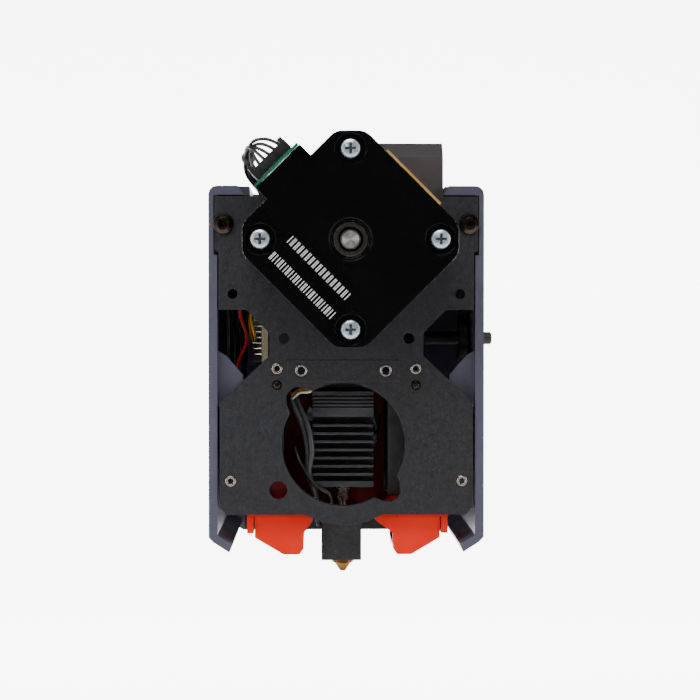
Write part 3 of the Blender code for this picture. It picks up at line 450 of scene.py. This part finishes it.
def button_plastic():
    look = Look("button_plastic", (0.036, 0.031, 0.034), 0.4)
    look.mottle(200.0, (0.050, 0.044, 0.047), 0.8)
    look.relief(look.noise(1900.0, 2.0), 0.015, 0.6)
    look.rough(400.0, 0.32, 0.5)
    return look.material


# ---------------------------------------------------------------- finishing the CAD nodes

def soft_shading():
    """A modifier network: joined corners, and smooth shading across shallow edges."""
    group = bpy.data.node_groups.new("soft_shading", "GeometryNodeTree")
    group.interface.new_socket("Geometry", in_out="INPUT", socket_type="NodeSocketGeometry")
    group.interface.new_socket("Geometry", in_out="OUTPUT", socket_type="NodeSocketGeometry")
    add = group.nodes.new
    link = group.links.new
    start = add("NodeGroupInput")
    merge = add("GeometryNodeMergeByDistance")
    merge.inputs["Distance"].default_value = 1e-6
    bare = add("GeometryNodeRemoveAttribute")
    bare.inputs["Name"].default_value = "custom_normal"
    faces = add("GeometryNodeSetShadeSmooth")
    faces.inputs["Shade Smooth"].default_value = True
    edges = add("GeometryNodeSetShadeSmooth")
    edges.domain = "EDGE"
    angle = add("GeometryNodeInputMeshEdgeAngle")
    shallow = add("FunctionNodeCompare")
    shallow.operation = "LESS_THAN"
    shallow.inputs["B"].default_value = SMOOTH_BELOW
    end = add("NodeGroupOutput")
    link(start.outputs[0], merge.inputs["Geometry"])
    link(merge.outputs["Geometry"], bare.inputs["Geometry"])
    link(bare.outputs["Geometry"], faces.inputs["Geometry"])
    link(faces.outputs["Geometry"], edges.inputs["Geometry"])
    link(angle.outputs["Unsigned Angle"], shallow.inputs["A"])
    link(shallow.outputs["Result"], edges.inputs["Shade Smooth"])
    link(edges.outputs["Geometry"], end.inputs[0])
    return group


def dress(names, material, edge):
    """Give CAD nodes a finish and a rounded edge of the given width in millimetres."""
    for name in names:
        node = nodes[name]
        node.data.materials.clear()
        node.data.materials.append(material)
        shading = node.modifiers.new("shading", "NODES")
        shading.node_group = SHADING
        if edge:
            bevel = node.modifiers.new("edge", "BEVEL")
            bevel.width = edge * MM
            bevel.segments = 2
            bevel.limit_method = "ANGLE"
            bevel.angle_limit = BEVEL_ABOVE
            bevel.harden_normals = True


def finish_cad_nodes():
    dress(["back_plate"], powder_coat(), 0.18)
    dress(["motor_rear_cap", "motor_front_flange"], gloss_enamel(), 0.5)
    dress(["motor_stator"], laminated_steel(), 0.15)
    dress(["motor_rotor"], turned_steel("rotor_steel", "motor_rotor", colour=(0.3, 0.29, 0.28)), 0.1)
    dress(["motor_shaft"], shaft_steel(), 0.0)
    bearing = turned_steel("bearing_steel", "motor_rear_bearing", colour=(0.22, 0.19, 0.19), roughness=0.3)
    dress(["motor_rear_bearing", "motor_front_bearing"], bearing, 0.12)
    dress([f"motor_screw_{side}" for side in ("top", "right", "bottom", "left")], zinc_plate(), 0.06)
    dress(["cover_shell"], slate_plastic(), 0.3)
    dress(["air_duct_left", "air_duct_right"], duct_plastic(), 0.22)
    dress(["gear_case", "extruder_body", "tension_arm"], case_plastic(), 0.2)
    dress(["silicone_sock"], silicone(), 0.18)
    dress(["heatsink"], anodised_fins(), 0.16)
    dress(["heater_block"], milled_aluminium(), 0.12)
    dress(["nozzle"], turned_brass(), 0.05)
    dress(["motor_board"], solder_mask(), 0.0)
    dress(["toolhead_board"], laminate(), 0.0)
    dress(["motor_insulation_strip"], amber_film(), 0.0)
    dress(["release_button"], button_plastic(), 0.12)
    dress(["reduction_gear"], gear_nylon(), 0.04)
    dress(["supply_wire"], wire_skin("red_wire", (0.50, 0.010, 0.008)), 0.0)
    dress(["ribbon_cable"], wire_skin("ribbon_black", (0.014, 0.014, 0.015)), 0.1)
    bronze = bronze_black()
    dress(["cover_screw_left", "cover_screw_right"], bronze, 0.08)
    dress(["motor_mount_screw_bottom", "motor_mount_screw_left"], bronze, 0.05)
    plain = black_plastic()
    housings = ["hotend_fan_frame", "blower_housing_left", "blower_housing_right"]
    dress(["motor_connector", "filament_inlet", *housings], plain, 0.15)
    dress(["hotend_fan_impeller", "blower_impeller_left", "blower_impeller_right"], plain, 0.05)
    for name in ("carriage_insert", "waist_stud", "lower_insert"):
        for side in ("left", "right"):
            node = f"{name}_{side}"
            steel = turned_steel(node, node, colour=(0.60, 0.52, 0.45), roughness=0.2, metallic=0.88)
            dress([node], steel, 0.2)
    shared = turned_steel("drive_steel", "drive_gear")
    dress(["motor_pinion", "drive_gear", "idler_gear"], shared, 0.03)
    dress(["drive_shaft", "idler_pin", "arm_pivot_pin", "torsion_spring"], shared, 0.0)
    dress(["heater_cartridge", "thermistor"], shared, 0.0)
    dress(["drive_bearing_rear", "drive_bearing_front"], shared, 0.1)
    dress(["heat_break"], turned_steel("heat_break_steel", "heat_break", "Z"), 0.0)


# ---------------------------------------------------------------- mesh helpers

def add_mesh(name, bm, material, body="head", edge=0.0):
    """Make a piece from a mesh in millimetres and let it ride on a CAD body."""
    bmesh.ops.recalc_face_normals(bm, faces=bm.faces)
    bmesh.ops.scale(bm, verts=bm.verts, vec=(MM, MM, MM))
    mesh = bpy.data.meshes.new(name)
    bm.to_mesh(mesh)
    bm.free()
    mesh.shade_smooth()
    mesh.set_sharp_from_angle(angle=SMOOTH_BELOW)
    mesh.materials.append(material)
    made = bpy.data.objects.new(name, mesh)
    bpy.context.scene.collection.objects.link(made)
    if edge:
        bevel = made.modifiers.new("edge", "BEVEL")
        bevel.width = edge * MM
        bevel.segments = 2
        bevel.limit_method = "ANGLE"
        bevel.harden_normals = True
    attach(made, body)
    return made


def block(bm, low, high):
    """A rectangular block between two corners, added to a mesh."""
    corners = [
        bm.verts.new((x, y, z))
        for z in (low[2], high[2])
        for y in (low[1], high[1])
        for x in (low[0], high[0])
    ]
    for a, b, c, d in ((0, 2, 3, 1), (4, 5, 7, 6), (0, 1, 5, 4), (2, 6, 7, 3), (0, 4, 6, 2), (1, 3, 7, 5)):
        bm.faces.new([corners[i] for i in (a, b, c, d)])


def slab(bm, front, back):
    """A flat piece between two matching outlines, added to a mesh."""
    front = [bm.verts.new(p) for p in front]
    back = [bm.verts.new(p) for p in back]
    bm.faces.new(front)
    bm.faces.new(back[::-1])
    for i in range(len(front)):
        bm.faces.new((front[i], front[i - 1], back[i - 1], back[i]))


def lathe(bm, profile, middle, axis, steps=32):
    """Turn an open or closed profile of (radius, distance) about an axis through a point."""
    along = Vector(axis).normalized()
    across = along.orthogonal().normalized()
    other = along.cross(across)
    rows = []
    for k in range(steps):
        turn = 2 * math.pi * k / steps
        out = across * math.cos(turn) + other * math.sin(turn)
        rows.append([bm.verts.new(Vector(middle) + out * r + along * t) for r, t in profile])
    for k in range(steps):
        a, b = rows[k], rows[(k + 1) % steps]
        for i in range(len(profile) - 1):
            bm.faces.new((a[i], a[i + 1], b[i + 1], b[i]))
    bm.faces.new([row[0] for row in rows])
    bm.faces.new([row[-1] for row in reversed(rows)])


def wire(name, points, radius, material, body="head", rounds=0):
    """A round wire along a smooth curve through the points, eased by so many rounds of relaxing."""
    curve = bpy.data.curves.new(name, "CURVE")
    curve.dimensions = "3D"
    spline = curve.splines.new("POLY")
    spaced = smooth(points)
    if rounds:
        spaced = relax(evenly(spaced, EVEN_STEP), rounds)
    spline.points.add(len(spaced) - 1)
    for slot, point in zip(spline.points, spaced):
        slot.co = (*(point * MM), 1.0)
    curve.bevel_depth = radius * MM
    curve.bevel_resolution = 4
    curve.use_fill_caps = True
    curve.materials.append(material)
    made = bpy.data.objects.new(name, curve)
    bpy.context.scene.collection.objects.link(made)
    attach(made, body)
    return made


def evenly(route, step):
    """The route again, at even spacing close to the step."""
    total = sum((b - a).length for a, b in zip(route, route[1:]))
    count = max(3, round(total / step))
    spacing = total / count
    out, done, wanted = [route[0]], 0.0, spacing
    for a, b in zip(route, route[1:]):
        stretch = (b - a).length
        while wanted <= done + stretch and len(out) < count:
            out.append(a.lerp(b, (wanted - done) / stretch))
            wanted += spacing
        done += stretch
    return out + [route[-1]]


def relax(route, rounds):
    """Ease the route's bends, its two ends staying where they are."""
    for _ in range(rounds):
        middle = [(a + 2 * b + c) / 4 for a, b, c in zip(route, route[1:], route[2:])]
        route = [route[0]] + middle + [route[-1]]
    return route


def smooth(points, steps=8):
    """A Catmull-Rom curve through the points."""
    route = [Vector(p) for p in points]
    route = [2 * route[0] - route[1]] + route + [2 * route[-1] - route[-2]]
    dense = []
    for a, b, c, d in zip(route, route[1:], route[2:], route[3:]):
        for k in range(steps):
            t = k / steps
            square = (2 * a - 5 * b + 4 * c - d) * t ** 2
            cube = (3 * b - a - 3 * c + d) * t ** 3
            dense.append(0.5 * (2 * b + (c - a) * t + square + cube))
    dense.append(route[-2])
    return dense


# ---------------------------------------------------------------- fine detail

def upper_left(along, out, depth):
    """A point by the motor's upper left side, in the motor's own turned frame."""
    return Vector((MOTOR.x + (along - out) / ROOT2, depth, MOTOR.z + (along + out) / ROOT2))


def lower_left(along, out, depth):
    return Vector((MOTOR.x + (along - out) / ROOT2, depth, MOTOR.z - (along + out) / ROOT2))


def build_motor_marks():
    """Two rows of plain white bars, in pairs, in place of print on the motor's cap."""
    ink = Look("white_ink", (0.80, 0.80, 0.80), 0.5)
    ink.mottle(900.0, (0.62, 0.62, 0.62), 0.8)
    bm = bmesh.new()
    proud, thickness = 0.03, 0.02
    cells = 16
    bar, half = 0.24, 1.1
    for row, (out, length) in enumerate(((16.2, 21.4), (10.4, 20.0))):
        pitch = length / cells
        for k in range(cells):
            width = pitch * (0.28, 0.5, 0.66)[(3 * k + 2 * row) % 3 - (k % 2) * ((k + row) % 2)]
            middle = -length / 2 + pitch * (k + 0.5) - 0.5
            for stroke in (-1, 1):
                left = middle + stroke * width / 2 - 0.11
                quad = [
                    lower_left(a, out + b, MOTOR_FACE - proud)
                    for a, b in ((left, -half), (left + bar, -half), (left + bar, half), (left, half))
                ]
                slab(bm, quad, [p + Vector((0, thickness, 0)) for p in quad])
    add_mesh("motor_print_bars", bm, ink.material)


def build_motor_wires():
    """Six wires loop out of the plug, gather into a tied bundle and run down into the cover."""
    skin = wire_skin("wire_black", (0.016, 0.015, 0.017))
    gather = Vector((-24.6, -12.0, 53.9))
    route = [
        Vector(p)
        for p in ((-25.0, -5.0, 50.4), (-22.8, 1.5, 47.9), (-22.0, 8.0, 47.0), (-21.4, 13.0, 44.9))
    ]
    last = PLUG_WIRES - 1
    for k in range(PLUG_WIRES):
        along = (k - last / 2) * PLUG_PITCH
        turn = 2 * math.pi * k / last
        packed = Vector((math.cos(turn), 0.3, math.sin(turn))) * (0.0 if k == last else 0.84)
        depth = -17.2 + 0.5 * (k % 2)
        lift = 1.6 + 0.55 * k
        points = [
            upper_left(along, 28.3, depth),
            upper_left(along, 30.0 + 0.2 * k, depth),
            upper_left(along * 0.72 - 0.6, 30.6 + lift * 0.55, depth + 0.6),
            gather + packed + Vector((0.5 - 0.08 * k, -2.2, 1.9 + 0.28 * k)),
            gather + packed,
        ]
        points += [p + packed for p in route[:-1]] + [route[-1] + packed * 0.6]
        made = wire(f"motor_wire_{k + 1}", points, 0.42, skin, rounds=EASING_ROUNDS)
        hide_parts("motor_cable")
    tie = bmesh.new()
    band = [(1.45, -0.5), (1.75, -0.5), (1.75, 0.5), (1.45, 0.5)]
    lathe(tie, band, gather + Vector((0.0, 1.4, -0.7)), (0.05, 1, -0.5), 20)
    add_mesh("wire_tie", tie, black_plastic(), edge=0.08)


def build_plug_detail():
    """Ribs on the motor's plug, one in line with each wire."""
    bm = bmesh.new()
    face = span("motor_connector")[0].y
    half, inner, outer = 0.42, 26.5, 28.4
    for k in range(PLUG_WIRES):
        along = (k - (PLUG_WIRES - 1) / 2) * PLUG_PITCH
        quad = [
            upper_left(along + a, out, face - 0.02)
            for a, out in ((-half, inner), (half, inner), (half, outer), (-half, outer))
        ]
        slab(bm, [p + Vector((0, -0.25, 0)) for p in quad], quad)
    add_mesh("plug_ribs", bm, black_plastic(), edge=0.06)


def build_bearing_shield():
    """The rear bearing's dark shield, set between its pale races."""
    seal = Look("bearing_seal", (0.020, 0.017, 0.017), 0.36)
    seal.mottle(400.0, (0.032, 0.027, 0.027), 0.7)
    seal.relief(seal.rings(centre("motor_rear_bearing") * MM, "Y", 900.0), 0.01, 0.5)
    bm = bmesh.new()
    face = span("motor_rear_bearing")[0].y
    shield = [(3.15, 0.0), (3.25, 0.12), (3.75, 0.12), (3.85, 0.0)]
    lathe(bm, shield, (MOTOR.x, face, MOTOR.z), (0, -1, 0), 40)
    add_mesh("bearing_shield", bm, seal.material)


def build_plate_detail():
    """Blind pins in the waist's two lower holes, and the faint witness rings between the inserts."""
    pins = bmesh.new()
    pin = [(0.0, 0.55), (0.45, 0.5), (0.62, 0.2), (0.9, 0.1), (1.08, -0.4), (1.08, -1.6), (0.0, -1.6)]
    for x in (-PIN_X, PIN_X):
        lathe(pins, pin, (x, PLATE_LOW.y, -3.7), (0, -1, 0), 20)
    add_mesh("waist_pins", pins, bronze_black(), edge=0.05)
    marks = bmesh.new()
    for x in RING_X:
        for inner, outer, high, sides in ((1.5, 1.72, 0.03, 6), (2.1, 2.2, 0.02, 36)):
            ring = [(inner, -0.05), (inner, high), (outer, high), (outer, -0.05)]
            lathe(marks, ring, (x, 0.0, 0.3), (0, -1, 0), sides)
    add_mesh("witness_rings", marks, nodes["back_plate"].data.materials[0])


def build_cover_shade_strip():
    """A black foam strip inside the cover's front wall, along its lower edge: a dark sheet that stands in
    for the shade there.
    """
    shade_foam = Look("shade_foam", (0.010, 0.010, 0.011), 0.85)
    shade_foam.mottle(600.0, (0.022, 0.022, 0.024), 0.8)
    shade_foam.relief(shade_foam.cells(1400.0), 0.12, 0.7)
    wall = COVER_HIGH.y - COVER_WALL
    half = 28.4
    bm = bmesh.new()
    # Painted shade: the dark strip darkens the wall's lower edge, which lies in shade.
    block(bm, (-half, wall - 0.45, COVER_LOW.z + 0.3), (half, wall - 0.05, PLATE_LOW.z + 4.0))
    add_mesh("cover_shade_strip", bm, shade_foam.material, edge=0.15)


def build_board_parts():
    """Small parts on the tool-head board, seen edge on through the left window."""
    face = BOARD_LOW.x
    silver = Look("solder", (0.62, 0.60, 0.56), 0.25, 1.0)
    silver.mottle(600.0, (0.40, 0.36, 0.30), 0.7)
    silver.relief(silver.noise(900.0), 0.04, 0.8)
    pins = bmesh.new()
    for row in range(3):
        for k in range(9):
            z = BOARD_LOW.z + 2.0 + 1.5 * k
            y = BOARD_LOW.y + 1.4 + 2.2 * row
            reach = 1.3 + 0.5 * ((k + row) % 3)
            pin = [(0.05, 0.0), (0.34, 0.15), (0.22, 0.7), (0.16, reach), (0.05, reach + 0.1)]
            lathe(pins, pin, (face - 0.02, y, z), (-1, 0, 0), 8)
    add_mesh("board_solder_pins", pins, silver.material)
    chips = bmesh.new()
    near = 12.0
    sizes = ((17.5, 4.0, 5.0), (23.0, 3.0, 3.0), (30.5, 6.0, 7.0), (38.5, 3.5, 4.0))
    for k, (z, tall, depth) in enumerate(sizes):
        top = face - 1.3 - 0.2 * (k % 2)
        block(chips, (top, near, z - tall / 2), (face - 0.05, near + depth, z + tall / 2))
    add_mesh("board_chips", chips, black_plastic(), edge=0.12)
    header = Look("header_plastic", (0.62, 0.56, 0.44), 0.45)
    header.mottle(250.0, (0.50, 0.44, 0.33), 0.7)
    header.relief(header.noise(1500.0), 0.02, 0.5)
    sockets = bmesh.new()
    for z in (4.4, 11.6):
        block(sockets, (face - 2.6, 17.0, z - 2.6), (face - 0.05, 23.5, z + 2.6))
    add_mesh("board_sockets", sockets, header.material, edge=0.15)


# The loose wires: name, colour, radius and the points that each passes through.
WIRE_ROUTES = (
    ("board_wire_yellow", "yellow", 0.3, (
        (-23.0, 18.0, 22.0), (-24.3, 9.0, 18.5), (-24.8, 7.6, 13.5), (-23.9, 8.4, 9.0),
        (-23.6, 17.5, 6.0),
    )),
    ("board_wire_orange", "orange", 0.28, (
        (-23.2, 19.0, 19.0), (-25.2, 10.5, 15.5), (-25.0, 9.2, 10.0), (-23.7, 18.0, 3.6),
    )),
    ("board_wire_black", "black", 0.5, (
        (-29.0, 20.0, 28.0), (-29.4, 17.0, 14.0), (-28.6, 16.8, 4.0), (-29.6, 17.4, -12.0),
        (-29.0, 18.0, -30.0),
    )),
    ("board_wire_dark_1", "black", 0.4, (
        (-27.6, 19.0, 30.0), (-28.0, 16.2, 16.0), (-27.2, 16.0, 2.0), (-28.9, 17.0, -14.0),
    )),
    ("board_wire_dark_2", "black", 0.4, (
        (-30.4, 18.4, 30.0), (-30.6, 16.0, 15.0), (-30.0, 16.2, 3.0), (-30.7, 17.0, -14.0),
    )),
    ("board_wire_dark_3", "black", 0.35, (
        (-26.2, 18.6, 30.0), (-26.9, 15.6, 17.0), (-26.3, 15.8, 4.0), (-27.9, 17.0, -12.0),
    )),
    ("board_wire_grey", "grey", 0.55, (
        (-31.7, 17.6, 30.0), (-31.9, 16.6, 16.0), (-31.4, 16.8, 2.0), (-31.8, 17.2, -14.0),
        (-31.2, 18.0, -30.0),
    )),
    ("heater_wire_1", "grey", 0.7, (
        (-15.2, 9.0, -4.6), (-14.0, 6.9, -8.6), (-11.2, 6.2, -15.0), (-10.0, 6.4, -21.4),
        (-10.1, 7.4, -27.6), (-8.2, 14.0, -34.0), (-7.7, 21.0, -39.6), (-7.0, 21.3, -41.5),
    )),
    ("heater_wire_2", "grey", 0.7, (
        (-13.7, 10.4, -4.2), (-12.6, 7.4, -8.4), (-9.9, 5.6, -14.8), (-8.9, 5.0, -21.0),
        (-9.6, 5.8, -27.0), (-7.8, 10.5, -33.4), (-7.8, 18.6, -39.0), (-7.0, 20.3, -42.2),
    )),
    ("sensor_wire", "black", 0.45, (
        (-13.4, 7.4, -20.2), (-11.6, 4.9, -24.6), (-8.2, 4.6, -29.6), (-4.4, 5.6, -32.2),
        (-3.6, 7.0, -35.6),
    )),
    ("lobe_wire_orange", "orange", 0.42, (
        (-14.2, 6.6, -6.4), (-11.6, 5.4, -4.9), (-8.8, 5.6, -5.0), (-8.4, 7.4, -3.6),
    )),
    ("lobe_wire_white", "white", 0.38, (
        (-14.0, 6.8, -7.4), (-12.0, 4.8, -5.8), (-9.6, 4.9, -5.6), (-8.6, 7.8, -4.4),
    )),
)


def build_window_wires():
    """Loose wires that show through the left window and beside the heatsink."""
    colours = {
        "yellow": (0.70, 0.40, 0.02),
        "orange": (0.62, 0.16, 0.01),
        "black": (0.014, 0.014, 0.015),
        "white": (0.62, 0.60, 0.56),
        "grey": (0.05, 0.05, 0.055),
    }
    skins = {name: wire_skin(f"wire_{name}", colour) for name, colour in colours.items()}
    for name, colour, radius, points in WIRE_ROUTES:
        wire(name, points, radius, skins[colour])


SHADING = soft_shading()
build_camera()
build_floor()
build_lights()
finish_cad_nodes()
build_motor_marks()
build_motor_wires()
build_plug_detail()
build_bearing_shield()
build_plate_detail()
build_cover_shade_strip()
build_board_parts()
build_window_wires()
